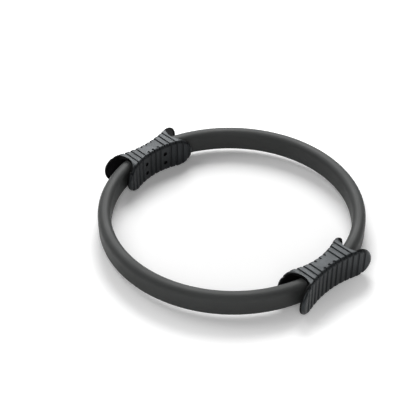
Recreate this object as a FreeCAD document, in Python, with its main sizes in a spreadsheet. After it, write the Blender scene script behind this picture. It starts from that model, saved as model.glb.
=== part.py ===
import FreeCAD, Part
import Sketcher
import math
import os

# Pilates ring: two flat spring strips bent to half hoops, each in a soft sleeve, with their ends
# screwed between the half shells of two ribbed handles. The hoop's axis is Z, the handles lie on
# the X axis, and the ring lies flat on the lobes of its handles at Z = 0.

doc = FreeCAD.newDocument("pilates_ring")
sheet = doc.addObject("Spreadsheet::Sheet", "Sizes")

# Driving dimensions in millimetres and degrees
SIZES = (
    ("hoop_diameter", 380.0, "across the hoop, over the sleeves"),
    ("sleeve_thickness", 18.6, "sleeve section, radial"),
    ("sleeve_lip", 4.5, "sleeve beyond the strip's edges, above and below"),
    ("sleeve_round", 8.0, "rounding of the sleeve's long edges"),
    ("sleeve_room", 0.5, "between the sleeve's end and the handle's ceiling, above and below"),
    ("sleeve_stop", 5.0, "between the sleeve's end and the clamp"),
    ("strip_thickness", 2.5, "spring strip, radial"),
    ("strip_width", 26.0, "spring strip, along Z"),
    ("strip_end", 6.0, "where the strip stops inside a handle, from the handle's middle"),
    ("strip_fit", 0.2, "clearance round the strip, in the sleeve and in the clamp"),
    ("handle_inset", 5.2, "handle's middle plane inside the hoop's middle circle"),
    ("waist_half_width", 13.4, "handle at its waist, seen from above"),
    ("strip_room", 2.6, "between the strip's edges and the handle's ceiling at the waist"),
    ("ceiling_radius", 338.0, "hollow of the handle's ceiling, seen from the side"),
    ("roof_wall", 5.0, "core shell over the ceiling at the waist"),
    ("waist_radius", 1200.0, "hollow of the handle's top and bottom, seen from the side"),
    ("outer_plan_radius", 165.0, "hollow of the outer face, seen from above"),
    ("inner_plan_radius", 110.0, "hollow of the inner face, seen from above"),
    ("outer_flare", 18.0, "angle at which the outer lobes spread"),
    ("inner_flare", 21.0, "angle at which the inner lobes spread"),
    ("outer_lobe_centre", 46.5, "centre of the outer lobes' rounding, from the handle's middle"),
    ("inner_lobe_centre", 40.0, "centre of the inner lobes' rounding, from the handle's middle"),
    ("edge_round", 5.0, "rounding round the rim of each grip"),
    ("rest_flat", 0.4, "flat taken off the outer lobes where the ring lies on them"),
    ("skin_wall", 2.4, "grip skin"),
    ("core_wall", 3.0, "core shell along the faces and in the lobes"),
    ("bond_gap", 0.1, "between a grip skin and its core"),
    ("parting_gap", 0.2, "between the inner and outer half of a handle"),
    ("mouth_front", 41.5, "where the bridge between the lobes ends, from the handle's middle"),
    ("mouth_radius", 22.0, "round end of the mouth, seen from above"),
    ("cavity_round", 4.5, "rounding inside the mouth"),
    ("groove_pitch", 9.2, "from groove to groove along the grip"),
    ("groove_width", 3.2, "groove along the grip"),
    ("groove_depth", 1.4, "groove below the grip's surface"),
    ("stub_length", 6.5, "short grooves on the top and bottom, from the grip's edge"),
    ("clamp_lip", 0.9, "clamp beyond the strip's edges, above and below"),
    ("screw_spread", 8.0, "screws above and below the middle"),
    ("screw_diameter", 3.5, "screw shank"),
    ("screw_point", 2.0, "length of the screw's point"),
    ("head_diameter", 6.0, "screw head"),
    ("head_height", 2.0, "screw head"),
    ("screw_fit", 0.2, "clearance round a screw"),
    ("seat_depth", 0.4, "head seat below the core's surface at the waist"),
    ("tip_wall", 0.8, "plastic left beyond the screw's point at the waist"),
)

for row, (alias, number, note) in enumerate(SIZES, start=1):
    sheet.set("A%d" % row, alias)
    sheet.set("B%d" % row, str(number))
    sheet.set("C%d" % row, note)
    sheet.setAlias("B%d" % row, alias)
doc.recompute()


def size(*aliases):
    return sum(float(sheet.get(alias)) for alias in aliases)


def cells(*aliases):
    return " + ".join("Sizes." + alias for alias in aliases) or "0"


# Derived lengths, as expressions on the sheet
HOOP_RADIUS = "((Sizes.hoop_diameter - Sizes.sleeve_thickness) / 2)"
HANDLE_X = "(%s - Sizes.handle_inset)" % HOOP_RADIUS
CEILING = "(Sizes.strip_width / 2 + Sizes.strip_room)"
WAIST_HALF_HEIGHT = "(%s + Sizes.roof_wall + Sizes.skin_wall)" % CEILING
WAIST_LIFT = "(%s + Sizes.waist_radius)" % WAIST_HALF_HEIGHT
LOBE_RADIUS = ("(sqrt(pow(Sizes.outer_lobe_centre; 2) + pow(%s; 2)) - Sizes.waist_radius)"
               % WAIST_LIFT)
MID_HEIGHT = "(%s - Sizes.rest_flat)" % LOBE_RADIUS
# The sleeve's ends stop where the handle's hollow ceiling comes down to them
SLEEVE_END = ("(sqrt(pow(Sizes.ceiling_radius; 2) - pow(Sizes.ceiling_radius + Sizes.strip_room"
              " - Sizes.sleeve_lip - Sizes.sleeve_room; 2)))")
CLAMP_HALF_LENGTH = "(%s - Sizes.sleeve_stop)" % SLEEVE_END
CLAMP_HALF_HEIGHT = "(Sizes.strip_width / 2 + Sizes.clamp_lip)"
SCREW_PLACE = "(2 * Sizes.groove_pitch)"
SEAT_X = "(%s - Sizes.waist_half_width + Sizes.skin_wall + Sizes.seat_depth)" % HANDLE_X
SCREW_REACH = ("(2 * Sizes.waist_half_width - 2 * Sizes.skin_wall - Sizes.seat_depth"
               " - Sizes.tip_wall)")
# Blanks and cutters reach this far, well past the handle on every side
CLEAR = "(Sizes.outer_lobe_centre + 2 * %s)" % WAIST_HALF_HEIGHT
ceiling = size("strip_width") / 2 + size("strip_room")
waist_half_height = ceiling + size("roof_wall", "skin_wall")
clear = size("outer_lobe_centre") + 2 * waist_half_height

X_AXIS = FreeCAD.Vector(1, 0, 0)
Y_AXIS = FreeCAD.Vector(0, 1, 0)
Z_AXIS = FreeCAD.Vector(0, 0, 1)
# Sketch axes to world axes: across the handle's side (Y, Z), and turned over for the inner half
SIDE_VIEW = FreeCAD.Rotation(FreeCAD.Vector(1, 1, 1), 120)
TURNED_OVER = FreeCAD.Rotation(Y_AXIS, 180)
ALONG_X = FreeCAD.Rotation(Y_AXIS, 90)
SIDES = (("left", -1), ("right", 1))


def bind(thing, **expressions):
    for name, expression in expressions.items():
        thing.setExpression(name.replace("__", "."), expression)
    return thing


def dimension(sketch, name, expression, *constraint):
    index = sketch.addConstraint(Sketcher.Constraint(*constraint))
    sketch.renameConstraint(index, name)
    sketch.setExpression("Constraints." + name, expression)


def line(x0, y0, x1, y1):
    return Part.LineSegment(FreeCAD.Vector(x0, y0, 0), FreeCAD.Vector(x1, y1, 0))


def arc(x, y, radius, start, end):
    circle = Part.Circle(FreeCAD.Vector(x, y, 0), Z_AXIS, radius)
    return Part.ArcOfCircle(circle, start, end)


def boolean(kind, name, base, *tools):
    thing = doc.addObject("Part::" + kind, name)
    if kind == "MultiFuse":
        thing.Shapes = [base, *tools]
    else:
        thing.Base = base
        thing.Tool = tools[0]
    return thing


def block(name, x, y, z, length, width, height):
    box = doc.addObject("Part::Box", name)
    bind(box, Length=length, Width=width, Height=height)
    return bind(box, Placement__Base__x=x, Placement__Base__y=y, Placement__Base__z=z)


def pin(name, x, y, z, radius, height, rotation=FreeCAD.Rotation()):
    cylinder = doc.addObject("Part::Cylinder", name)
    cylinder.Placement = FreeCAD.Placement(FreeCAD.Vector(), rotation)
    bind(cylinder, Radius=radius, Height=height)
    return bind(cylinder, Placement__Base__x=x, Placement__Base__y=y, Placement__Base__z=z)


def extrude(name, sketch, length):
    prism = doc.addObject("Part::Extrusion", name)
    prism.Base = sketch
    prism.DirMode = "Normal"
    prism.Solid = True
    prism.Symmetric = True
    return bind(prism, LengthFwd=length)


# Plan of half a handle, drawn outwards from the parting plane: a hollow arc at the waist runs into
# straight flanks, and an inset moves the whole outline inwards along its normals.
def plan_prism(name, half, *inset, past_seam=False):
    radius = size(half + "_plan_radius")
    flare = math.radians(size(half + "_flare"))
    inset_radius = radius + size(*inset)
    centre = size("waist_half_width") + radius
    start_x = -size("waist_half_width") if past_seam else size("parting_gap") / 2
    bend_x = centre - inset_radius * math.cos(flare)
    bend_y = inset_radius * math.sin(flare)
    end_x = bend_x + (clear - bend_y) * math.tan(flare)
    sketch = doc.addObject("Sketcher::SketchObject", name + "_plan")
    sketch.Placement.Rotation = FreeCAD.Rotation() if half == "outer" else TURNED_OVER
    bind(sketch, Placement__Base__x=HANDLE_X)
    sketch.addGeometry([
        line(start_x, -clear, end_x, -clear),
        line(end_x, -clear, bend_x, -bend_y),
        arc(centre, 0, inset_radius, math.pi - flare, math.pi + flare),
        line(bend_x, bend_y, end_x, clear),
        line(end_x, clear, start_x, clear),
        line(start_x, clear, start_x, -clear),
    ], False)
    sketch.addConstraint([
        Sketcher.Constraint("Coincident", 0, 2, 1, 1),
        Sketcher.Constraint("Tangent", 1, 2, 2, 2),
        Sketcher.Constraint("Tangent", 2, 1, 3, 1),
        Sketcher.Constraint("Coincident", 3, 2, 4, 1),
        Sketcher.Constraint("Coincident", 4, 2, 5, 1),
        Sketcher.Constraint("Coincident", 5, 2, 0, 1),
        Sketcher.Constraint("Horizontal", 0),
        Sketcher.Constraint("Horizontal", 4),
        Sketcher.Constraint("Vertical", 5),
        Sketcher.Constraint("PointOnObject", 2, 3, -1),
    ])
    grown = "(Sizes.%s_plan_radius + %s)" % (half, cells(*inset))
    bend = "%s * sin(Sizes.%s_flare * 1 deg)" % (grown, half)
    waist = "Sizes.waist_half_width + Sizes.%s_plan_radius" % half
    dimension(sketch, "hollow", grown, "Radius", 2, inset_radius)
    dimension(sketch, "centre", waist, "DistanceX", -1, 1, 2, 3, centre)
    dimension(sketch, "bend_up", bend, "DistanceY", -1, 1, 2, 1, bend_y)
    dimension(sketch, "bend_down", bend, "DistanceY", 2, 2, -1, 1, bend_y)
    dimension(sketch, "end_up", CLEAR, "DistanceY", -1, 1, 3, 2, clear)
    dimension(sketch, "end_down", CLEAR, "DistanceY", 0, 2, -1, 1, clear)
    if past_seam:
        dimension(sketch, "seam", "Sizes.waist_half_width", "DistanceX", 5, 1, -1, 1, -start_x)
    else:
        dimension(sketch, "seam", "Sizes.parting_gap / 2", "DistanceX", -1, 1, 5, 1, start_x)
    return extrude(name, sketch, CLEAR)


# Side view of half a handle: hollow arcs above and below run tangent into round lobes at both ends.
def side_prism(name, half, *inset):
    hollow = size("waist_radius")
    inset_hollow = hollow + size(*inset)
    lift = waist_half_height + hollow
    reach = size(half + "_lobe_centre")
    span = math.hypot(reach, lift)
    lobe = span - inset_hollow
    lean = math.atan2(reach, lift)
    quarter = math.pi / 2
    sketch = doc.addObject("Sketcher::SketchObject", name + "_side")
    sketch.Placement.Rotation = SIDE_VIEW
    bind(sketch, Placement__Base__x=HANDLE_X)
    sketch.addGeometry([
        arc(0, lift, inset_hollow, -quarter - lean, -quarter + lean),
        arc(reach, 0, lobe, -quarter - lean, quarter + lean),
        arc(0, -lift, inset_hollow, quarter - lean, quarter + lean),
        arc(-reach, 0, lobe, quarter - lean, 3 * quarter + lean),
    ], False)
    sketch.addConstraint([
        Sketcher.Constraint("Tangent", 0, 2, 1, 2),
        Sketcher.Constraint("Tangent", 1, 1, 2, 1),
        Sketcher.Constraint("Tangent", 2, 2, 3, 2),
        Sketcher.Constraint("Tangent", 3, 1, 0, 1),
        Sketcher.Constraint("PointOnObject", 0, 3, -2),
        Sketcher.Constraint("PointOnObject", 1, 3, -1),
        Sketcher.Constraint("PointOnObject", 2, 3, -2),
        Sketcher.Constraint("Equal", 0, 2),
    ])
    centre = "Sizes.%s_lobe_centre" % half
    dimension(sketch, "hollow", cells("waist_radius", *inset), "Radius", 0, inset_hollow)
    dimension(sketch, "lift", WAIST_LIFT, "DistanceY", -1, 1, 0, 3, lift)
    dimension(sketch, "right_lobe", centre, "DistanceX", -1, 1, 1, 3, reach)
    dimension(sketch, "left_lobe", centre, "DistanceX", 3, 3, -1, 1, reach)
    return extrude(name, sketch, CLEAR)


# Side view of the cavity: hollow arcs above and below that go on past both ends.
def cavity_prism(name):
    hollow = size("ceiling_radius")
    lift = ceiling + hollow
    end_z = lift - math.sqrt(hollow ** 2 - clear ** 2)
    spread = math.asin(clear / hollow)
    quarter = math.pi / 2
    sketch = doc.addObject("Sketcher::SketchObject", name + "_side")
    sketch.Placement.Rotation = SIDE_VIEW
    bind(sketch, Placement__Base__x=HANDLE_X)
    sketch.addGeometry([
        arc(0, lift, hollow, -quarter - spread, -quarter + spread),
        line(clear, end_z, clear, -end_z),
        arc(0, -lift, hollow, quarter - spread, quarter + spread),
        line(-clear, -end_z, -clear, end_z),
    ], False)
    sketch.addConstraint([
        Sketcher.Constraint("Coincident", 0, 2, 1, 1),
        Sketcher.Constraint("Coincident", 1, 2, 2, 1),
        Sketcher.Constraint("Coincident", 2, 2, 3, 1),
        Sketcher.Constraint("Coincident", 3, 2, 0, 1),
        Sketcher.Constraint("Vertical", 1),
        Sketcher.Constraint("Vertical", 3),
        Sketcher.Constraint("PointOnObject", 0, 3, -2),
        Sketcher.Constraint("PointOnObject", 2, 3, -2),
        Sketcher.Constraint("Equal", 0, 2),
    ])
    middle = CEILING + " + Sizes.ceiling_radius"
    dimension(sketch, "hollow", "Sizes.ceiling_radius", "Radius", 0, hollow)
    dimension(sketch, "lift", middle, "DistanceY", -1, 1, 0, 3, lift)
    dimension(sketch, "drop", middle, "DistanceY", 2, 3, -1, 1, lift)
    dimension(sketch, "right_end", CLEAR, "DistanceX", -1, 1, 1, 1, clear)
    dimension(sketch, "left_end", CLEAR, "DistanceX", 3, 1, -1, 1, clear)
    return extrude(name, sketch, CLEAR)


# Every curved edge of a form that doesn't lie on the parting plane is rounded.
def rounded(name, base, radius):
    doc.recompute()
    plane = size("hoop_diameter") / 2 - size("sleeve_thickness") / 2 - size("handle_inset")
    fillet = doc.addObject("Part::Fillet", name)
    fillet.Base = base
    picked = []
    for index, edge in enumerate(base.Shape.Edges, start=1):
        box = edge.BoundBox
        off_plane = min(abs(box.XMin - plane), abs(box.XMax - plane)) > size("parting_gap")
        if off_plane and not isinstance(edge.Curve, (Part.Line, Part.LineSegment)):
            picked.append((index, radius, radius))
    fillet.Edges = picked
    return fillet


# Slabs across the handle, one for each groove in the list of steps along the grip.
def groove_slabs(name, steps):
    slabs = []
    for step in steps:
        start = "%d * Sizes.groove_pitch - Sizes.groove_width / 2" % step
        slabs.append(block("%s_%d" % (name, step + 9), HANDLE_X + " - " + CLEAR, start,
                           "-" + CLEAR, "2 * " + CLEAR, "Sizes.groove_width", "2 * " + CLEAR))
    return boolean("MultiFuse", name, *slabs)


def both_ways(steps):
    return [sign * step for sign in (-1, 1) for step in steps]


# Mouths: a round front and everything beyond it, at both ends of the handle.
def mouth_cutter():
    pieces = []
    middle = "(Sizes.mouth_front + Sizes.mouth_radius)"
    for label, sign in SIDES:
        pieces.append(pin("mouth_%s_front" % label, HANDLE_X, "%d * %s" % (sign, middle),
                          "-" + CLEAR, "Sizes.mouth_radius", "2 * " + CLEAR))
        start = middle if sign > 0 else "-%s - %s" % (middle, CLEAR)
        pieces.append(block("mouth_%s_end" % label, HANDLE_X + " - " + CLEAR, start, "-" + CLEAR,
                            "2 * " + CLEAR, CLEAR, "2 * " + CLEAR))
    return boolean("MultiFuse", "mouths", *pieces)


# Room for the four screws of a handle: head room towards the inside, shank room outwards.
def screw_rooms():
    rooms = []
    for label, sign in SIDES:
        for level in (-1, 1):
            name = "room_%s_%s" % (label, "upper" if level > 0 else "lower")
            y = "%d * %s" % (sign, SCREW_PLACE)
            z = "%d * Sizes.screw_spread" % level
            rooms.append(pin(name + "_head", SEAT_X + " - " + CLEAR, y, z,
                             "Sizes.head_diameter / 2 + Sizes.screw_fit", CLEAR, ALONG_X))
            rooms.append(pin(name + "_shank", SEAT_X, y, z,
                             "Sizes.screw_diameter / 2 + Sizes.screw_fit",
                             SCREW_REACH + " + Sizes.screw_fit", ALONG_X))
    return boolean("MultiFuse", "screw_rooms", *rooms)


# Room for the strips: a band round the hoop, wider than the strip by its fit on every side.
def strip_channel():
    height = "Sizes.strip_width + 2 * Sizes.strip_fit"
    bottom = "-Sizes.strip_width / 2 - Sizes.strip_fit"
    half = "(Sizes.strip_thickness / 2 + Sizes.strip_fit)"
    outside = pin("channel_outside", "0", "0", bottom, HOOP_RADIUS + " + " + half, height)
    inside = pin("channel_inside", "0", "0", bottom, HOOP_RADIUS + " - " + half, height)
    return boolean("Cut", "strip_channel", outside, inside)


def screw(name, sign, level):
    pieces = [
        pin(name + "_head", "0", "0", "-Sizes.head_height", "Sizes.head_diameter / 2",
            "Sizes.head_height"),
        pin(name + "_shank", "0", "0", "0", "Sizes.screw_diameter / 2",
            SCREW_REACH + " - Sizes.screw_point"),
    ]
    point = doc.addObject("Part::Cone", name + "_point")
    bind(point, Radius1="Sizes.screw_diameter / 2", Radius2="Sizes.screw_diameter / 8",
         Height="Sizes.screw_point")
    bind(point, Placement__Base__z=SCREW_REACH + " - Sizes.screw_point")
    whole = boolean("MultiFuse", name, *pieces, point)
    whole.Placement.Rotation = ALONG_X
    bind(whole, Placement__Base__x=SEAT_X, Placement__Base__y="%d * %s" % (sign, SCREW_PLACE),
         Placement__Base__z="%d * Sizes.screw_spread" % level)
    return whole


# One strip or sleeve section: a rectangle about the hoop's middle circle.
def section(body, name, thickness, height):
    sketch = body.newObject("Sketcher::SketchObject", name)
    planes = [plane for plane in body.Origin.OriginFeatures if plane.Role == "XZ_Plane"]
    sketch.AttachmentSupport = [(planes[0], "")]
    sketch.MapMode = "FlatFace"
    middle = size("hoop_diameter") / 2 - size("sleeve_thickness") / 2
    half = size(*thickness[:1]) / 2 + size(*thickness[1:])
    top = size(*height[:1]) / 2 + size(*height[1:])
    near, far = middle - half, middle + half
    sketch.addGeometry([line(near, -top, far, -top), line(far, -top, far, top),
                        line(far, top, near, top), line(near, top, near, -top)], False)
    joins = [Sketcher.Constraint("Coincident", i, 2, (i + 1) % 4, 1) for i in range(4)]
    flat = [Sketcher.Constraint("Horizontal", i) for i in (0, 2)]
    upright = [Sketcher.Constraint("Vertical", i) for i in (1, 3)]
    sketch.addConstraint(joins + flat + upright)
    half_text = "(Sizes.%s / 2 + %s)" % (thickness[0], cells(*thickness[1:]))
    top_text = "(Sizes.%s / 2 + %s)" % (height[0], cells(*height[1:]))
    inward = "%s - %s" % (HOOP_RADIUS, half_text)
    outward = "%s + %s" % (HOOP_RADIUS, half_text)
    dimension(sketch, "near", inward, "DistanceX", -1, 1, 0, 1, near)
    dimension(sketch, "far", outward, "DistanceX", -1, 1, 0, 2, far)
    dimension(sketch, "bottom", top_text, "DistanceY", 0, 1, -1, 1, top)
    dimension(sketch, "top", top_text, "DistanceY", -1, 1, 2, 1, top)
    return sketch


# Turns a section about the hoop's axis, half of the angle to either side of the sketch.
def turned(body, kind, sketch, name, end):
    feature = body.newObject("PartDesign::" + kind, name)
    feature.Profile = sketch
    feature.ReferenceAxis = (sketch, ["V_Axis"])
    feature.Midplane = True
    bind(feature, Angle="180 - 2 * asin(%s / %s) / 1 deg" % (end, HOOP_RADIUS))
    body.Tip = feature
    return feature


def hoop_body(name, sign):
    body = doc.addObject("PartDesign::Body", name)
    body.Placement.Rotation = FreeCAD.Rotation(Z_AXIS, 90 * sign)
    return bind(body, Placement__Base__z=MID_HEIGHT)


def spring_strip(label, sign):
    body = hoop_body(label + "_spring_strip", sign)
    flat = section(body, label + "_strip_section", ["strip_thickness"], ["strip_width"])
    turned(body, "Revolution", flat, label + "_strip_bend", "Sizes.strip_end")
    holes = body.newObject("Sketcher::SketchObject", label + "_strip_holes")
    planes = [plane for plane in body.Origin.OriginFeatures if plane.Role == "XZ_Plane"]
    holes.AttachmentSupport = [(planes[0], "")]
    holes.MapMode = "FlatFace"
    place = 2 * size("groove_pitch")
    level = size("screw_spread")
    radius = size("screw_diameter") / 2 + size("screw_fit")
    for index, side in enumerate((-1, 1)):
        holes.addGeometry(Part.Circle(FreeCAD.Vector(place, side * level, 0), Z_AXIS, radius), False)
        ends = (-1, 1, index, 3) if side > 0 else (index, 3, -1, 1)
        dimension(holes, "along_%d" % index, SCREW_PLACE, "DistanceX", -1, 1, index, 3, place)
        dimension(holes, "level_%d" % index, "Sizes.screw_spread", "DistanceY", *ends, level)
        dimension(holes, "bore_%d" % index, "Sizes.screw_diameter / 2 + Sizes.screw_fit",
                  "Radius", index, radius)
    pocket = body.newObject("PartDesign::Pocket", label + "_strip_bores")
    pocket.Profile = holes
    pocket.Type = "ThroughAll"
    pocket.Midplane = True
    body.Tip = pocket
    return body


def sleeve(label, sign):
    body = hoop_body(label + "_sleeve", sign)
    outside = section(body, label + "_sleeve_section", ["sleeve_thickness"],
                      ["strip_width", "sleeve_lip"])
    cover = turned(body, "Revolution", outside, label + "_sleeve_bend", SLEEVE_END)
    doc.recompute()
    long_edges = ["Edge%d" % index for index, edge in enumerate(cover.Shape.Edges, start=1)
                  if isinstance(edge.Curve, Part.Circle)]
    soft = body.newObject("PartDesign::Fillet", label + "_sleeve_round")
    soft.Base = (cover, long_edges)
    bind(soft, Radius="min(Sizes.sleeve_round; Sizes.sleeve_thickness / 2 - Sizes.strip_fit)")
    body.Tip = soft
    slot = section(body, label + "_slot_section", ["strip_thickness", "strip_fit"],
                   ["strip_width", "strip_fit"])
    turned(body, "Groove", slot, label + "_slot", "Sizes.strip_end")
    return body


# One half of the front handle: the ribbed grip skin and the core shell under it.
def handle_half(half, mouths, rooms, channel, grooves):
    top_and_side, stubs, side_only, top_only = grooves
    blank = boolean("Common", half + "_blank", plan_prism(half + "_face", half),
                    side_prism(half + "_top", half))
    outside = rounded(half + "_outside", blank, size("edge_round"))
    inside = boolean("Common", half + "_inside", plan_prism(half + "_inside_face", half, "skin_wall"),
                     side_prism(half + "_inside_top", half, "skin_wall"))
    shell = boolean("Common", half + "_shell",
                    plan_prism(half + "_shell_face", half, "skin_wall", "bond_gap"),
                    side_prism(half + "_shell_top", half, "skin_wall", "bond_gap"))
    lining = plan_prism(half + "_lining", half, "skin_wall", "core_wall")
    cavity = boolean("Common", half + "_cavity", lining, cavity_prism(half + "_ceiling"))
    soft_cavity = rounded(half + "_soft_cavity", cavity, size("cavity_round"))
    mouth = boolean("Common", half + "_mouth", lining, mouths)
    hollow = boolean("MultiFuse", half + "_hollow", soft_cavity, mouth)

    # Grooves: round the top and the side, short ones at the edges, and some on the side alone
    groove_face = plan_prism(half + "_groove_face", half, "groove_depth")
    groove_top = side_prism(half + "_groove_top", half, "groove_depth")
    groove_block = boolean("Common", half + "_groove_block", groove_face, groove_top)
    groove_round = max(size("edge_round") - size("groove_depth"), size("bond_gap"))
    groove_floor = rounded(half + "_groove_floor", groove_block, groove_round)
    stub_floor = boolean("MultiFuse", half + "_stub_floor", groove_floor,
                         plan_prism(half + "_stub_face", half, "stub_length"))
    cutters = [
        boolean("Cut", half + "_round_grooves", top_and_side, groove_floor),
        boolean("Cut", half + "_stub_grooves", stubs, stub_floor),
        boolean("Cut", half + "_side_grooves", side_only, groove_face),
    ]
    if top_only:
        cutters.append(boolean("Cut", half + "_top_grooves", top_only, groove_top))
    skin = boolean("Cut", half + "_skin", boolean("Cut", half + "_rind", outside, inside), hollow)
    ribbed = boolean("Cut", half + "_ribbed", skin,
                     boolean("MultiFuse", half + "_grooves", *cutters))

    # The two halves of the clamp meet the strip's inner and outer face
    plate = block(half + "_clamp_block", HANDLE_X + " - " + CLEAR, "-" + CLAMP_HALF_LENGTH,
                  "-" + CLAMP_HALF_HEIGHT, "2 * " + CLEAR, "2 * " + CLAMP_HALF_LENGTH,
                  "2 * " + CLAMP_HALF_HEIGHT)
    drum_sign = "+" if half == "outer" else "-"
    drum = pin(half + "_clamp_curve", "0", "0", "-" + CLEAR,
               "%s %s (Sizes.strip_thickness / 2 + Sizes.strip_fit)" % (HOOP_RADIUS, drum_sign),
               "2 * " + CLEAR)
    if half == "outer":
        wall = plan_prism("outer_clamp_wall", half, "skin_wall", "bond_gap")
        jaw = boolean("Cut", "outer_jaw", boolean("Common", "outer_jaw_blank", wall, plate), drum)
    else:
        wall = plan_prism("inner_clamp_wall", half, "skin_wall", "bond_gap", past_seam=True)
        jaw = boolean("Common", "inner_jaw", boolean("Common", "inner_jaw_blank", wall, plate), drum)
    core = boolean("MultiFuse", half + "_core_whole", boolean("Cut", half + "_lined", shell, hollow),
                   jaw)
    core = boolean("Cut", half + "_core_drilled", core, rooms)
    core = boolean("Cut", "front_%s_core" % half, core, channel)

    # The outer lobes are cut flat where the ring lies on them
    slab = block(half + "_rest", HANDLE_X + " - " + CLEAR, "-" + CLEAR, "-" + MID_HEIGHT,
                 "2 * " + CLEAR, "2 * " + CLEAR, "2 * " + MID_HEIGHT)
    if half == "inner":
        ribbed = boolean("Cut", half + "_drilled", ribbed, rooms)
    grip = boolean("Common", "front_%s_grip" % half, ribbed, slab)
    return [bind(core, Placement__Base__z=MID_HEIGHT), bind(grip, Placement__Base__z=MID_HEIGHT)]


def front_handle():
    mouths = mouth_cutter()
    rooms = screw_rooms()
    channel = strip_channel()
    full = groove_slabs("full_slabs", both_ways((2, 3, 4)))
    full_inner = groove_slabs("full_inner_slabs", both_ways((3, 4)))
    short = groove_slabs("short_slabs", [-1, 0, 1])
    lobes = groove_slabs("lobe_slabs", both_ways((5, 6)))
    screw_lands = groove_slabs("land_slabs", both_ways((2,)))
    nodes = handle_half("outer", mouths, rooms, channel, (full, short, lobes, None))
    nodes += handle_half("inner", mouths, rooms, channel, (full_inner, short, lobes, screw_lands))
    for label, sign in SIDES:
        pair = doc.addObject("Part::Compound", "front_%s_screws" % label)
        pair.Links = [screw("front_%s_upper_screw" % label, sign, 1),
                      screw("front_%s_lower_screw" % label, sign, -1)]
        nodes.append(bind(pair, Placement__Base__z=MID_HEIGHT))
    return nodes


# The rear handle is the front one turned round to the other side of the hoop.
def rear_copy(node):
    copy = doc.addObject("Part::Mirroring", node.Label.replace("front_", "rear_"))
    copy.Source = node
    copy.Base = FreeCAD.Vector()
    copy.Normal = X_AXIS
    return copy


nodes = []
for label, sign in SIDES:
    nodes.append(spring_strip(label, sign))
    nodes.append(sleeve(label, sign))
front = front_handle()
nodes += front
nodes += [rear_copy(node) for node in front]
doc.recompute()

for thing in doc.Objects:
    if "Invalid" in thing.State or "Error" in thing.State:
        raise RuntimeError("%s failed: %s" % (thing.Label, thing.State))
for node in nodes:
    if node.Shape.isNull() or not node.Shape.isValid():
        raise RuntimeError("%s has no valid shape" % node.Label)
os.makedirs("parts", exist_ok=True)
for node in nodes:
    node.Shape.exportStep("parts/%s.step" % node.Label)
    print("%-24s solids %d  volume %.0f" % (node.Label, len(node.Shape.Solids), node.Shape.Volume))
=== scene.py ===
import math

import bmesh
import bpy
import numpy as np
from mathutils import Matrix, Vector


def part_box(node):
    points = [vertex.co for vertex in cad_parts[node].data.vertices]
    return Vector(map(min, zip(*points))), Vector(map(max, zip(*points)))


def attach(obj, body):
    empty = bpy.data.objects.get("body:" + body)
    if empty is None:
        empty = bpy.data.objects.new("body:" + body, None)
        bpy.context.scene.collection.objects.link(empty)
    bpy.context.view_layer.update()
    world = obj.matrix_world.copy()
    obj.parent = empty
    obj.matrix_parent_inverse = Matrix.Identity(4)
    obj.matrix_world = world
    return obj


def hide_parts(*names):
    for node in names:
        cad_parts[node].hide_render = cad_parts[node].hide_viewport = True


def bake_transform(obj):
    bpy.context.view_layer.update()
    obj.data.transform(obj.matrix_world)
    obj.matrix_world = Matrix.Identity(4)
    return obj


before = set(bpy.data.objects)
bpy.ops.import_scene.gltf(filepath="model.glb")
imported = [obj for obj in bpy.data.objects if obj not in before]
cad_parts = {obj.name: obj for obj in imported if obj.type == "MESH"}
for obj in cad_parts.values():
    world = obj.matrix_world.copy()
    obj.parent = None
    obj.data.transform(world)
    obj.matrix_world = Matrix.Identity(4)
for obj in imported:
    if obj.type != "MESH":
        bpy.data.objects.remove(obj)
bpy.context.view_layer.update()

mm = 0.001
scene = bpy.context.scene
scene.view_settings.view_transform = "Standard"

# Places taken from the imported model
stripThickness = 2.5 * mm
sleeveLow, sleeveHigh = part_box("left_sleeve")
stripLow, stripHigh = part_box("left_spring_strip")
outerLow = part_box("front_outer_grip")[0]
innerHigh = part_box("front_inner_grip")[1]
midHeight = (sleeveLow.z + sleeveHigh.z) / 2
hoopRadius = -stripLow.y - stripThickness / 2
handleX = (outerLow.x + innerHigh.x) / 2
ringCentre = Vector((0, 0, midHeight))


# Mesh helpers: points is an (n, 3) array, faces an (m, 4) array of corner indices; second holds another
# material and a mask of the faces that take it
def gridFaces(rows, columns, closed=False, first=0):
    r = np.arange(rows - 1)[:, None]
    c = np.arange(columns if closed else columns - 1)[None, :]
    d = (c + 1) % columns
    corners = [r * columns + c, r * columns + d, (r + 1) * columns + d, (r + 1) * columns + c]
    return first + np.stack(np.broadcast_arrays(*corners), -1).reshape(-1, 4)


def makePiece(name, points, faces, material, sharpAngle=35, attributes=None, second=None):
    mesh = bpy.data.meshes.new(name)
    mesh.vertices.add(len(points))
    mesh.vertices.foreach_set("co", np.asarray(points, np.float32).ravel())
    mesh.loops.add(faces.size)
    mesh.loops.foreach_set("vertex_index", faces.astype(np.int32).ravel())
    mesh.polygons.add(len(faces))
    mesh.polygons.foreach_set("loop_start", np.arange(0, faces.size, 4, dtype=np.int32))
    mesh.update(calc_edges=True)
    for key, values in (attributes or {}).items():
        mesh.attributes.new(key, "FLOAT", "POINT").data.foreach_set("value", values.astype(np.float32))
    mesh.materials.append(material)
    if second is not None:
        mesh.materials.append(second[0])
        mesh.polygons.foreach_set("material_index", second[1].astype(np.int32))
    body = bmesh.new()
    body.from_mesh(mesh)
    bmesh.ops.remove_doubles(body, verts=body.verts, dist=1e-6)
    bmesh.ops.dissolve_degenerate(body, edges=body.edges, dist=1e-7)
    bmesh.ops.recalc_face_normals(body, faces=body.faces)
    body.to_mesh(mesh)
    body.free()
    mesh.polygons.foreach_set("use_smooth", np.ones(len(mesh.polygons), bool))
    mesh.set_sharp_from_angle(angle=math.radians(sharpAngle))
    piece = bpy.data.objects.new(name, mesh)
    scene.collection.objects.link(piece)
    return piece


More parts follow.
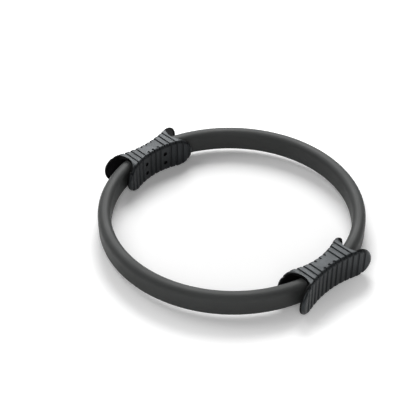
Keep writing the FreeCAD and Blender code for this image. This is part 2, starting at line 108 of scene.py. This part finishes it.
def smooth(t):
    t = np.clip(t, 0, 1)
    return t * t * (3 - 2 * t)


# Node groups and materials
def newNode(tree, kind, **values):
    node = tree.nodes.new(kind)
    for key, value in values.items():
        if key in node.inputs.keys():
            node.inputs[key].default_value = value
        else:
            setattr(node, key, value)
    return node


# Moulded surface: fine pits for a bump, and a slow cloudy mask for colour and gloss
def mouldedGrainGroup():
    tree = bpy.data.node_groups.new("moulded grain", "ShaderNodeTree")
    tree.interface.new_socket("Vector", in_out="INPUT", socket_type="NodeSocketVector")
    for name, value in (("Pit Scale", 2500.0), ("Cloud Scale", 30.0)):
        tree.interface.new_socket(name, in_out="INPUT", socket_type="NodeSocketFloat").default_value = value
    for name in ("Pits", "Clouds"):
        tree.interface.new_socket(name, in_out="OUTPUT", socket_type="NodeSocketFloat")
    entry = tree.nodes.new("NodeGroupInput")
    leave = tree.nodes.new("NodeGroupOutput")
    cells = newNode(tree, "ShaderNodeTexVoronoi", feature="SMOOTH_F1", Smoothness=0.6)
    fine = newNode(tree, "ShaderNodeTexNoise", Detail=3.0, Roughness=0.6)
    cloud = newNode(tree, "ShaderNodeTexNoise", Detail=4.0, Roughness=0.55)
    mix = newNode(tree, "ShaderNodeMath", operation="ADD")
    half = newNode(tree, "ShaderNodeMath", operation="MULTIPLY")
    half.inputs[1].default_value = 0.5
    for node, scale in ((cells, "Pit Scale"), (fine, "Pit Scale"), (cloud, "Cloud Scale")):
        tree.links.new(entry.outputs["Vector"], node.inputs["Vector"])
        tree.links.new(entry.outputs[scale], node.inputs["Scale"])
    tree.links.new(cells.outputs["Distance"], mix.inputs[0])
    tree.links.new(fine.outputs["Fac"], mix.inputs[1])
    tree.links.new(mix.outputs[0], half.inputs[0])
    tree.links.new(half.outputs[0], leave.inputs["Pits"])
    tree.links.new(cloud.outputs["Fac"], leave.inputs["Clouds"])
    return tree


mouldedGrain = mouldedGrainGroup()


cloudSpan = (0.3, 0.7)


# A matt moulded finish: two close shades, cloudy gloss and pitted bump; returns what a finish adds to
def mouldedFinish(name, look):
    material = bpy.data.materials.new(name)
    material.use_nodes = True
    tree = material.node_tree
    shader = tree.nodes["Principled BSDF"]
    place = newNode(tree, "ShaderNodeTexCoord")
    grain = newNode(tree, "ShaderNodeGroup", node_tree=mouldedGrain)
    grain.inputs["Pit Scale"].default_value = look["pitScale"]
    grain.inputs["Cloud Scale"].default_value = look["cloudScale"]
    tree.links.new(place.outputs["Object"], grain.inputs["Vector"])
    shades = newNode(tree, "ShaderNodeMix", data_type="RGBA")
    shades.inputs["A"].default_value = (*look["dark"], 1)
    shades.inputs["B"].default_value = (*look["light"], 1)
    gloss = newNode(tree, "ShaderNodeMapRange")
    gloss.inputs["From Min"].default_value = cloudSpan[0]
    gloss.inputs["From Max"].default_value = cloudSpan[1]
    gloss.inputs["To Min"].default_value = look["roughness"][0]
    gloss.inputs["To Max"].default_value = look["roughness"][1]
    bump = newNode(tree, "ShaderNodeBump", Strength=look["bump"], Distance=look["bumpDepth"])
    tree.links.new(grain.outputs["Clouds"], shades.inputs["Factor"])
    tree.links.new(grain.outputs["Clouds"], gloss.inputs["Value"])
    tree.links.new(grain.outputs["Pits"], bump.inputs["Height"])
    tree.links.new(shades.outputs["Result"], shader.inputs["Base Color"])
    tree.links.new(gloss.outputs["Result"], shader.inputs["Roughness"])
    tree.links.new(bump.outputs["Normal"], shader.inputs["Normal"])
    shader.inputs["Specular IOR Level"].default_value = look["specular"]
    return material, tree, shader, shades


sleeveFoam = {"dark": (0.043, 0.0455, 0.0445), "light": (0.053, 0.0555, 0.0545), "roughness": (0.58, 0.68),
              "pitScale": 1600, "cloudScale": 18, "bump": 0.25, "bumpDepth": 0.2 * mm, "specular": 0.45}
# The grip's near-black mix colour is painted shade in its grooves, and the black core plus painted shade
# along its mouth
gripRubber = {"dark": (0.0155, 0.017, 0.018), "light": (0.021, 0.023, 0.0245), "roughness": (0.33, 0.42),
              "pitScale": 2200, "cloudScale": 45, "bump": 0.35, "bumpDepth": 0.25 * mm, "specular": 0.3,
              "sheen": (0.88, 0.95, 1.0), "paintedShadeAndCore": (0.005, 0.0055, 0.006)}
corePlastic = {"dark": (0.004, 0.004, 0.0045), "light": (0.007, 0.007, 0.0075), "roughness": (0.55, 0.65),
               "pitScale": 1400, "cloudScale": 60, "bump": 0.2, "bumpDepth": 0.2 * mm, "specular": 0.12}
stripGlass = {"dark": (0.20, 0.19, 0.14), "light": (0.34, 0.32, 0.25), "roughness": (0.3, 0.42),
              "pitScale": 900, "cloudScale": 90, "bump": 0.15, "bumpDepth": 0.2 * mm, "specular": 0.5}
screwSteel = {"dark": (0.018, 0.018, 0.019), "light": (0.04, 0.04, 0.042), "roughness": (0.3, 0.45),
              "pitScale": 3000, "cloudScale": 220, "bump": 0.15, "bumpDepth": 0.1 * mm, "specular": 0.5,
              "metallic": 0.9}

foamMaterial = mouldedFinish("charcoal foam", sleeveFoam)[0]
gripMaterial, gripTree, gripShader, gripShades = mouldedFinish("charcoal grip rubber", gripRubber)
# Painted shade: a mask mixes the grip colour towards near-black in the grooves and in the band along the
# mouth
paintedShadeAndCoreMask = newNode(gripTree, "ShaderNodeAttribute", attribute_name="paintedShadeAndCore")
paintedShadeAndCoreMix = newNode(gripTree, "ShaderNodeMix", data_type="RGBA")
paintedShadeAndCoreMix.inputs["B"].default_value = (*gripRubber["paintedShadeAndCore"], 1)
gripTree.links.new(paintedShadeAndCoreMask.outputs["Fac"], paintedShadeAndCoreMix.inputs["Factor"])
gripTree.links.new(gripShades.outputs["Result"], paintedShadeAndCoreMix.inputs["A"])
gripTree.links.new(paintedShadeAndCoreMix.outputs["Result"], gripShader.inputs["Base Color"])
gripShader.inputs["Specular Tint"].default_value = (*gripRubber["sheen"], 1)
coreMaterial = mouldedFinish("black core plastic", corePlastic)[0]
stripMaterial = mouldedFinish("strip fibreglass", stripGlass)[0]
screwMaterial, _, screwShader, _ = mouldedFinish("black oxide steel", screwSteel)
screwShader.inputs["Metallic"].default_value = screwSteel["metallic"]
print("materials made")


# Sleeves and strips: a section carried along a quarter of the hoop, in four pieces of each
sleeve = {"round": 8.0 * mm, "crown": 0.35 * mm, "cornerSteps": 14, "faceSteps": 16, "steps": 220}
strip = {"round": 0.5 * mm, "crown": 0.0, "cornerSteps": 3, "faceSteps": 6, "steps": 160}


# Rounded rectangle: a quarter circle at each corner and straight runs between, its sides crowned by
# crown * (1 - (z / half height)^2)
def roundedSection(halfWidth, halfHeight, look):
    r = look["round"]
    middle = np.array([halfWidth - look["crown"] - r, halfHeight - r])
    turn = np.linspace(0, math.pi / 2, look["cornerSteps"])
    corners = []
    for quarter, side in enumerate(((1, 1), (-1, 1), (-1, -1), (1, -1))):
        angle = turn + quarter * math.pi / 2
        corners.append(middle * side + r * np.stack([np.cos(angle), np.sin(angle)], -1))
    share = np.linspace(0, 1, look["faceSteps"] + 1)[1:-1, None]
    runs = []
    for corner, following in zip(corners, corners[1:] + corners[:1]):
        runs += [corner, corner[-1] * (1 - share) + following[0] * share]
    outline = np.concatenate(runs)
    outline[:, 0] += np.sign(outline[:, 0]) * look["crown"] * (1 - (outline[:, 1] / halfHeight) ** 2)
    return outline


# Point at angle a and section point (p, z): ((R + p) cos a, (R + p) sin a, z), closed by a fan at each end
def hoopQuarter(name, start, end, outline, steps, material):
    angles = np.linspace(start, end, steps)
    angles = np.concatenate([[start], angles, [end]])
    spread = np.ones(len(angles))
    spread[[0, -1]] = 0
    p = outline[None, :, 0] * spread[:, None]
    z = outline[None, :, 1] * spread[:, None]
    radius = hoopRadius + p
    x, y = radius * np.cos(angles)[:, None], radius * np.sin(angles)[:, None]
    points = np.stack([x, y, midHeight + z], -1)
    rows, columns = p.shape
    return makePiece(name, points.reshape(-1, 3), gridFaces(rows, columns, closed=True), material)


sleeveHalfWidth = -sleeveLow.y - hoopRadius
sleeveHalfHeight = (sleeveHigh.z - sleeveLow.z) / 2
stripHalfHeight = (stripHigh.z - stripLow.z) / 2
sleeveEnd = math.asin(-sleeveHigh.y / (hoopRadius - sleeveHalfWidth))
stripEnd = math.asin(-stripHigh.y / (hoopRadius - stripThickness / 2))
hoopPieces = (
    ("sleeve", roundedSection(sleeveHalfWidth, sleeveHalfHeight, sleeve), sleeve, foamMaterial, sleeveEnd),
    ("spring_strip", roundedSection(stripThickness / 2, stripHalfHeight, strip), strip, stripMaterial,
     stripEnd),
)
# Each piece runs along the hoop from its end, inside the handle's mouth, to the middle of its half hoop
for side, sideSign in (("left", -1), ("right", 1)):
    for label, outline, look, material, endAngle in hoopPieces:
        for end, endSign in (("rear", -1), ("front", 1)):
            start = math.pi * (endSign < 0) + endSign * endAngle
            piece = hoopQuarter(f"{side}_{end}_{label}", sideSign * start, sideSign * math.pi / 2, outline,
                                look["steps"], material)
            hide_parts(f"{side}_{label}")
            if end == "rear":
                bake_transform(piece)
            else:
                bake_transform(piece)
print("sleeves and strips made")

# Screw places on a handle's inner face, from its middle
screwAt = {"y": 18.4 * mm, "z": 8.0 * mm}

# Grips: a skeleton set in by the edge rounding, plus that rounding along the surface normal
grip = {"waistHalfWidth": 13.4 * mm, "waistHalfHeight": 23.0 * mm, "waistRadius": 1200 * mm,
        "edge": 5.0 * mm, "wall": 2.4 * mm, "skinEdge": 1.3 * mm, "lining": 5.4 * mm, "seam": 0.02 * mm,
        "mouthFront": 41.5 * mm, "mouthRadius": 22 * mm, "lip": 0.9 * mm, "rimRoom": 0.2 * mm,
        "bandTaper": 1.6, "pitch": 9.2 * mm, "grooveTop": 1.3 * mm, "grooveFace": 1.8 * mm,
        "grooveSoft": 0.5 * mm, "grooveDepth": 1.4 * mm, "stub": 6.5 * mm,
        "turn": {"width": 1.5, "top": 2, "faceStart": 2, "faceFall": 2.5},
        "spacing": 0.35 * mm, "tipSteps": 30, "topSteps": 24, "edgeSteps": 12, "faceSteps": 96,
        "hiddenTop": 3, "hiddenEdge": 4, "hiddenFace": 52, "hiddenPlain": 3, "hole": 3.2 * mm,
        "holeSteps": 64, "onFace": 0.1, "cell": 0.4 * mm, "hiddenCell": 0.55 * mm, "snap": 0.75,
        "sharpAngle": 50}
gripHalves = {
    "outer": {"planRadius": 165 * mm, "flare": math.radians(18), "lobe": 46.5 * mm, "sign": 1,
              "around": (2, 3, 4), "topOnly": (), "faceOnly": (5, 6), "holes": ()},
    "inner": {"planRadius": 110 * mm, "flare": math.radians(21), "lobe": 40.0 * mm, "sign": -1,
              "around": (3, 4), "topOnly": (2,), "faceOnly": (5, 6),
              "holes": [(-screwAt["y"], -screwAt["z"]), (-screwAt["y"], screwAt["z"]),
                        (screwAt["y"], -screwAt["z"]), (screwAt["y"], screwAt["z"])]},
}
stubSteps = (-1, 0, 1)


# Plan: a hollow arc at the waist, then straight flanks; returns distance from the seam and the normal
def planAt(half, y, inset):
    radius = half["planRadius"] + inset
    bend = radius * math.sin(half["flare"])
    centre = grip["waistHalfWidth"] + half["planRadius"]
    reach = np.abs(y)
    arc = np.sqrt(np.maximum(radius ** 2 - np.minimum(reach, bend) ** 2, 0))
    out = centre - arc + np.maximum(reach - bend, 0) * math.tan(half["flare"])
    lean = np.minimum(reach, bend) / radius
    return out, np.stack([np.sqrt(1 - lean ** 2), -np.sign(y) * lean, np.zeros_like(y)], -1)


# Side view: a hollow arc over the waist, then a round lobe; returns half height, the normal and the tip
def sideAt(half, y, inset):
    lift = grip["waistHalfHeight"] + grip["waistRadius"]
    hollow = grip["waistRadius"] + inset
    span = math.hypot(half["lobe"], lift)
    lobe = span - hollow
    tangent = hollow * half["lobe"] / span
    reach = np.abs(y)
    along = np.where(reach < tangent, -reach / hollow, np.clip((reach - half["lobe"]) / lobe, -1, 1))
    up = np.sqrt(1 - along ** 2)
    height = np.where(reach < tangent, lift - hollow * up, lobe * up)
    return height, np.stack([np.zeros_like(y), np.sign(y) * along, up], -1), half["lobe"] + lobe


# Groove cross-section: full depth inside, smooth walls, nothing outside
def grooveAt(y, step, reach):
    away = np.abs(y - step * grip["pitch"])
    return smooth((reach + grip["grooveSoft"] - away) / (2 * grip["grooveSoft"]))


# Rows of sections along the grip, top zone to bottom zone, on the skeleton and with their normals
def gripSections(half, topSteps, edgeSteps, faceSteps):
    edge = grip["edge"]
    tip = sideAt(half, np.zeros(1), edge)[2]
    body = np.arange(0, half["lobe"], grip["spacing"])
    turn = np.linspace(0, math.pi / 2, int((tip - half["lobe"]) / grip["spacing"]) + grip["tipSteps"])
    oneSide = np.concatenate([body, half["lobe"] + (tip - half["lobe"]) * np.sin(turn)])
    y = np.concatenate([-oneSide[:0:-1], oneSide])
    out, faceNormal = planAt(half, y, edge)
    height, topNormal, _ = sideAt(half, y, edge)
    # The mouth's rim: a round front between the lobes, then along the lining
    topY = np.abs(y + edge * topNormal[:, 1])
    centre = grip["mouthFront"] + grip["mouthRadius"]
    front = np.sqrt(np.maximum(grip["mouthRadius"] ** 2 - (np.minimum(topY, centre) - centre) ** 2, 0))
    rim = np.where(topY > grip["mouthFront"], np.minimum(front, planAt(half, y, grip["lining"])[0]), 0)
    rim = np.minimum(np.maximum(rim, grip["seam"]), out - grip["rimRoom"])
    across = np.linspace(0, 1, topSteps)[None, :]
    over = rim[:, None] * (1 - across) + out[:, None] * across
    bend = np.linspace(0, math.pi / 2, edgeSteps)[None, 1:-1, None]
    bend = topNormal[:, None] * np.cos(bend) + faceNormal[:, None] * np.sin(bend)
    bend /= np.linalg.norm(bend, axis=-1, keepdims=True)
    down = np.linspace(1, -1, faceSteps)[None, :]
    flip = np.array([1, 1, -1])
    zones = []
    for x, z, normal in ((over, height[:, None], topNormal[:, None]),
                         (out[:, None] + np.zeros((1, edgeSteps - 2)), height[:, None], bend),
                         (out[:, None], height[:, None] * down, faceNormal[:, None])):
        place = np.broadcast_arrays(x, y[:, None], z)
        zones.append((np.stack(place, -1), np.broadcast_to(normal, place[0].shape + (3,))))
    zones += [(p[:, ::-1] * flip, n[:, ::-1] * flip) for p, n in zones[1::-1]]
    base, normal = [np.concatenate(parts, 1) for parts in zip(*zones)]
    return base, normal, rim, topY > grip["mouthFront"]


# How far the grooves go down at each surface point, 0 to 1; flat is 0 on the face and 1 on the top
def grooveDips(half, surface, flat):
    y = surface[..., 1]
    turn = grip["turn"]
    reach = grip["grooveFace"] + (grip["grooveTop"] - grip["grooveFace"]) * smooth(flat * turn["width"])
    onTop, onFace = smooth(flat * turn["top"]), smooth(turn["faceStart"] - turn["faceFall"] * flat)
    fromEdge = planAt(half, y, 0 * mm)[0] - surface[..., 0]
    atEdge = smooth((grip["stub"] + grip["grooveSoft"] - fromEdge) / (2 * grip["grooveSoft"]))
    dip = np.zeros(y.shape)
    for steps, part in ((half["around"], 1), (half["topOnly"], onTop), (half["faceOnly"], onFace)):
        for step in steps:
            dip = np.maximum(dip, np.maximum(grooveAt(y, step, reach), grooveAt(y, -step, reach)) * part)
    for step in stubSteps:
        dip = np.maximum(dip, grooveAt(y, step, reach) * atEdge)
    return dip


# Screw holes: grid points near a rim move onto it, and the faces inside it are left out
def punch(half, points, facing, faces, cell):
    inside = np.zeros(len(points), bool)
    for hole in half["holes"]:
        away = points[:, 1:] - hole
        reach = np.linalg.norm(away, axis=1)
        near = facing & (np.abs(reach - grip["hole"]) < grip["snap"] * cell)
        before = planAt(half, points[near, 1], 0 * mm)[0]
        points[near, 1:] = hole + away[near] * (grip["hole"] / reach[near])[:, None]
        points[near, 0] += planAt(half, points[near, 1], 0 * mm)[0] - before
        inside |= facing & (reach < grip["hole"] + grip["snap"] * cell)
    return faces[~inside[faces].all(1)]


# Wall of a screw hole: a short tube from the outer to the inner surface of the skin
def holeWall(half, hole):
    angle = np.linspace(0, 2 * math.pi, grip["holeSteps"], endpoint=False)
    y = hole[0] + grip["hole"] * np.cos(angle)
    z = hole[1] + grip["hole"] * np.sin(angle)
    rings = [np.stack([planAt(half, y, depth)[0], y, z], -1) for depth in (0 * mm, grip["wall"])]
    return np.concatenate(rings), gridFaces(2, len(angle), closed=True)


def gripSkin(name, halfName, endSign, material):
    half = gripHalves[halfName]
    steps = grip["topSteps"], grip["edgeSteps"], grip["faceSteps"]
    base, normal, rim, mouthRows = gripSections(half, *steps)
    flat = normal[..., 2] ** 2  # 1 on the top and bottom, 0 on the face
    surface = base + grip["edge"] * normal
    dip = grooveDips(half, surface, flat)
    # The mouth's rim is eased by a quarter round
    fromRim = np.abs(base[..., 0] - rim[:, None])
    ease = np.where((flat > 0.5) & mouthRows[:, None], np.clip(1 - fromRim / grip["lip"], 0, 1), 0)
    drop = dip * grip["grooveDepth"] + grip["lip"] * (1 - np.sqrt(1 - ease ** 2))
    outside = base + (grip["edge"] - drop)[..., None] * normal
    # Along the mouth the black core shows as a band, wide on the lobes and thin round the front; the band
    # is the black core together with painted shade inside the mouth
    depth = planAt(half, surface[..., 1], 0 * mm)[0] - surface[..., 0]
    rimDepth = depth.max(1, keepdims=True)
    start = grip["skinEdge"] + grip["bandTaper"] * (rimDepth - grip["lining"])
    start = np.minimum(start, rimDepth - grip["lip"])
    band = smooth((depth - start) / grip["grooveSoft"]) * mouthRows[:, None]
    # The hidden side is coarse, but for the face that has screw holes
    hiddenFace = grip["hiddenFace"] if half["holes"] else grip["hiddenPlain"]
    hidden, hiddenNormal, _, _ = gripSections(half, grip["hiddenTop"], grip["hiddenEdge"], hiddenFace)
    inside = hidden + (grip["edge"] - grip["wall"]) * hiddenNormal
    rows, columns = outside.shape[:2]
    inColumns = inside.shape[1]
    count = rows * columns
    run = np.arange(rows - 1)
    rims = []
    for outColumn, inColumn in ((0, 0), (columns - 1, inColumns - 1)):
        a = run * columns + outColumn
        b = count + run * inColumns + inColumn
        rims.append(np.stack([a, a + columns, b + inColumns, b], -1))
    outPoints, inPoints = outside.reshape(-1, 3), inside.reshape(-1, 3)
    facing = flat.ravel() < grip["onFace"]
    outFaces = punch(half, outPoints, facing, gridFaces(rows, columns), grip["cell"])
    facing = hiddenNormal[..., 2].ravel() ** 2 < grip["onFace"]
    inFaces = punch(half, inPoints, facing, gridFaces(rows, inColumns), grip["hiddenCell"])
    points, faces = [outPoints, inPoints], [outFaces, inFaces + count, *rims]
    for hole in half["holes"]:
        wallPoints, wallFaces = holeWall(half, hole)
        faces.append(wallFaces + sum(len(part) for part in points))
        points.append(wallPoints)
    points, faces = np.concatenate(points), np.concatenate(faces)
    points[:, 2] = np.clip(points[:, 2] + midHeight, 0, 2 * midHeight)
    points[:, 0] = endSign * (handleX + half["sign"] * points[:, 0])
    # The mask is painted shade in the grooves, and the black core plus painted shade in the band along the
    # mouth
    paintedShadeAndCore = np.concatenate([np.maximum(dip, band).ravel(), np.zeros(len(points) - count)])
    # The band's faces take the core's material: the core's lip covers the skin's rim and lines it, and
    # inside the mouth the black is painted shade as well
    coreAndShadeFaces = np.ones(len(faces), bool)
    coreAndShadeFaces[:len(outFaces)] = band.ravel()[outFaces].mean(1) > 0.5
    return makePiece(name, points, faces, material, sharpAngle=grip["sharpAngle"],
                     attributes={"paintedShadeAndCore": paintedShadeAndCore}, second=(coreMaterial, coreAndShadeFaces))


# Screws: a domed head with a cross recess, a threaded shank and a point
screw = {"seat": 10.6 * mm, "head": 3.0 * mm, "headHeight": 2.0 * mm, "dome": 0.6 * mm, "corner": 0.3 * mm,
         "slotHalf": 0.45 * mm, "slotReach": 1.75 * mm, "slotDepth": 1.1 * mm, "slotSoft": 0.2 * mm,
         "slotSlope": 0.5, "shank": 1.74 * mm, "thread": 0.32 * mm, "ridge": 1.6, "pitch": 1.4 * mm,
         "reach": 20.8 * mm, "point": 2.0 * mm, "taper": 0.85, "around": 72, "headRings": 30,
         "cornerRings": 6, "threadRings": 150, "pointRings": 6}


# Ring at height s, radius r: the head's top is dome * (r / head)^2 below its middle, less the recess;
# the shank's radius is shank - thread * ridge(s / pitch - angle / turn)
def screwPoints():
    angle = np.linspace(0, 2 * math.pi, screw["around"], endpoint=False)
    r = np.linspace(0, screw["head"] - screw["corner"], screw["headRings"])[:, None]
    u, v = np.abs(r * np.cos(angle)), np.abs(r * np.sin(angle))
    narrow, far = np.minimum(u, v), np.maximum(u, v)
    soft = screw["slotSoft"]
    recess = smooth((screw["slotHalf"] - narrow) / soft) * smooth((screw["slotReach"] - far) / soft)
    top = -screw["headHeight"] + screw["dome"] * (r / screw["head"]) ** 2
    sunk = screw["slotDepth"] * recess * (1 - screw["slotSlope"] * far / screw["slotReach"])
    rings = [(top + sunk, r + 0 * angle)]
    turn = np.linspace(0, math.pi / 2, screw["cornerRings"])[:, None]
    cornerTop = top[-1] + screw["corner"]
    rings.append((cornerTop - screw["corner"] * np.cos(turn) + 0 * angle,
                  screw["head"] - screw["corner"] * (1 - np.sin(turn)) + 0 * angle))
    rings.append((np.zeros((2, 1)) + 0 * angle, np.array([[screw["head"]], [screw["shank"]]]) + 0 * angle))
    s = np.linspace(0, screw["reach"] - screw["point"], screw["threadRings"])[:, None]
    phase = (s / screw["pitch"] - angle / (2 * math.pi)) % 1
    cut = screw["thread"] * np.minimum(np.abs(2 * phase - 1) * screw["ridge"], 1)
    rings.append((s + 0 * angle, screw["shank"] - cut * smooth(s / screw["pitch"])))
    s = np.linspace(0, 1, screw["pointRings"])[1:, None]
    rings.append((screw["reach"] - screw["point"] * (1 - s) + 0 * angle,
                  (screw["shank"] - screw["thread"]) * (1 - screw["taper"] * s) + 0 * angle))
    rings.append((np.full((1, 1), screw["reach"]) + 0 * angle, np.zeros((1, 1)) + 0 * angle))
    s, r = [np.concatenate(parts) for parts in zip(*rings)]
    return np.stack([s, r * np.cos(angle), r * np.sin(angle)], -1)


screwShape = screwPoints()
screwFaces = gridFaces(len(screwShape), screw["around"], closed=True)
for end, endSign in (("rear", -1), ("front", 1)):
    for halfName in gripHalves:
        node = f"{end}_{halfName}_grip"
        piece = gripSkin(node + "_skin", halfName, endSign, gripMaterial)
        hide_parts(node)
        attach(piece, end + "_handle")
        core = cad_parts[f"{end}_{halfName}_core"]
        core.data.materials.clear()
        core.data.materials.append(coreMaterial)
    for side, y in (("left", -screwAt["y"]), ("right", screwAt["y"])):
        for level, z in (("upper", screwAt["z"]), ("lower", -screwAt["z"])):
            points = screwShape.reshape(-1, 3) + (handleX - screw["seat"], y, midHeight + z)
            points[:, 0] *= endSign
            piece = makePiece(f"{end}_{side}_{level}_screw", points, screwFaces, screwMaterial)
            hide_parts(f"{end}_{side}_screws")
            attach(piece, f"{side}_front_end" if end == "front" else "rear_handle")
print("handles made")

# Studio: pale floor, a large soft light behind, weaker ones from the left and from the camera's side
studio = {"floorHalf": 40.0, "floorSeen": 0.98, "floorBounce": 0.3, "world": 0.125,
          "paintedGlowRamp": {"From Min": 0.15, "From Max": 0.36, "To Min": 0.06, "To Max": 1.0},
          "key": {"watts": 36.0, "size": 1.2, "place": (-1.044, 1.058, 1.338)},
          "side": {"watts": 9.0, "size": 1.2, "place": (-1.2, -0.45, 1.5)},
          "fill": {"watts": 10.0, "size": 1.2, "place": (1.076, -1.09, 1.286)}}


def makeFloor():
    half = studio["floorHalf"]
    mesh = bpy.data.meshes.new("floor")
    corners = [(-half, -half, 0), (half, -half, 0), (half, half, 0), (-half, half, 0)]
    mesh.from_pydata(corners, [], [(0, 1, 2, 3)])
    material = bpy.data.materials.new("pale floor")
    material.use_nodes = True
    tree = material.node_tree
    shader = tree.nodes["Principled BSDF"]
    path = newNode(tree, "ShaderNodeLightPath")
    seen = newNode(tree, "ShaderNodeMath", operation="MAXIMUM")
    seenToo = newNode(tree, "ShaderNodeMath", operation="MAXIMUM")
    shades = newNode(tree, "ShaderNodeMix", data_type="RGBA")
    shades.inputs["A"].default_value = (*[studio["floorBounce"]] * 3, 1)
    shades.inputs["B"].default_value = (*[studio["floorSeen"]] * 3, 1)
    # Painted light: for camera, glossy and transmission rays the floor glows, faintly within 0.15 m of the
    # ring's middle and fully white beyond 0.36 m, which washes out the ring's shadow outside the hoop and
    # fades the floor to a white backdrop
    place = newNode(tree, "ShaderNodeTexCoord")
    away = newNode(tree, "ShaderNodeVectorMath", operation="LENGTH")
    paintedGlowRamp = newNode(tree, "ShaderNodeMapRange", interpolation_type="SMOOTHSTEP", **studio["paintedGlowRamp"])
    glow = newNode(tree, "ShaderNodeMath", operation="MULTIPLY")
    tree.links.new(path.outputs["Is Camera Ray"], seen.inputs[0])
    tree.links.new(path.outputs["Is Glossy Ray"], seen.inputs[1])
    tree.links.new(seen.outputs[0], seenToo.inputs[0])
    tree.links.new(path.outputs["Is Transmission Ray"], seenToo.inputs[1])
    tree.links.new(seenToo.outputs[0], shades.inputs["Factor"])
    tree.links.new(shades.outputs["Result"], shader.inputs["Base Color"])
    tree.links.new(place.outputs["Object"], away.inputs[0])
    tree.links.new(away.outputs["Value"], paintedGlowRamp.inputs["Value"])
    tree.links.new(seenToo.outputs[0], glow.inputs[0])
    tree.links.new(paintedGlowRamp.outputs["Result"], glow.inputs[1])
    tree.links.new(glow.outputs[0], shader.inputs["Emission Strength"])
    shader.inputs["Emission Color"].default_value = (1, 1, 1, 1)
    shader.inputs["Roughness"].default_value = 1.0
    shader.inputs["Specular IOR Level"].default_value = 0.0
    mesh.materials.append(material)
    floor = bpy.data.objects.new("floor", mesh)
    scene.collection.objects.link(floor)


def makeLight(name, watts, size, place):
    lamp = bpy.data.lights.new(name, "AREA")
    lamp.shape = "DISK"
    lamp.size = size
    lamp.energy = watts
    light = bpy.data.objects.new(name, lamp)
    light.location = place
    light.rotation_euler = (ringCentre - Vector(place)).to_track_quat("-Z", "Y").to_euler()
    scene.collection.objects.link(light)


makeFloor()
for lightName in ("key", "side", "fill"):
    makeLight(lightName, **studio[lightName])
world = bpy.data.worlds.new("studio")
world.use_nodes = True
world.node_tree.nodes["Background"].inputs["Color"].default_value = (1, 1, 1, 1)
world.node_tree.nodes["Background"].inputs["Strength"].default_value = studio["world"]
scene.world = world

# Camera: angles round the ring's middle, and the pixel of the 400 pixel picture where that middle lies
photo = {"pixels": 400, "azimuth": 44.611, "elevation": 40.258, "distance": 1.5370, "focal": 1075.19,
         "roll": 0.987, "ringAt": (231.501, 212.463), "sensor": 36.0}


def makeCamera():
    a, e = math.radians(photo["azimuth"]), math.radians(photo["elevation"])
    outward = Vector((math.sin(a) * math.cos(e), -math.cos(a) * math.cos(e), math.sin(e)))
    back = outward.copy()
    right = Vector((math.cos(a), math.sin(a), 0))
    up = back.cross(right)
    sideways = photo["ringAt"][0] - photo["pixels"] / 2
    upwards = photo["pixels"] / 2 - photo["ringAt"][1]
    pan = Matrix.Rotation(math.atan2(sideways, photo["focal"]), 3, up)
    right, back = pan @ right, pan @ back
    tilt = Matrix.Rotation(-math.atan2(upwards, math.hypot(photo["focal"], sideways)), 3, right)
    up, back = tilt @ up, tilt @ back
    roll = Matrix.Rotation(math.radians(photo["roll"]), 3, back)
    right, up = roll @ right, roll @ up
    lens = bpy.data.cameras.new("camera")
    lens.sensor_width = photo["sensor"]
    lens.lens = photo["focal"] / photo["pixels"] * photo["sensor"]
    camera = bpy.data.objects.new("camera", lens)
    turn = Matrix((right, up, back)).transposed().to_4x4()
    camera.matrix_world = Matrix.Translation(ringCentre + outward * photo["distance"]) @ turn
    scene.collection.objects.link(camera)
    scene.camera = camera


makeCamera()
print("studio made")
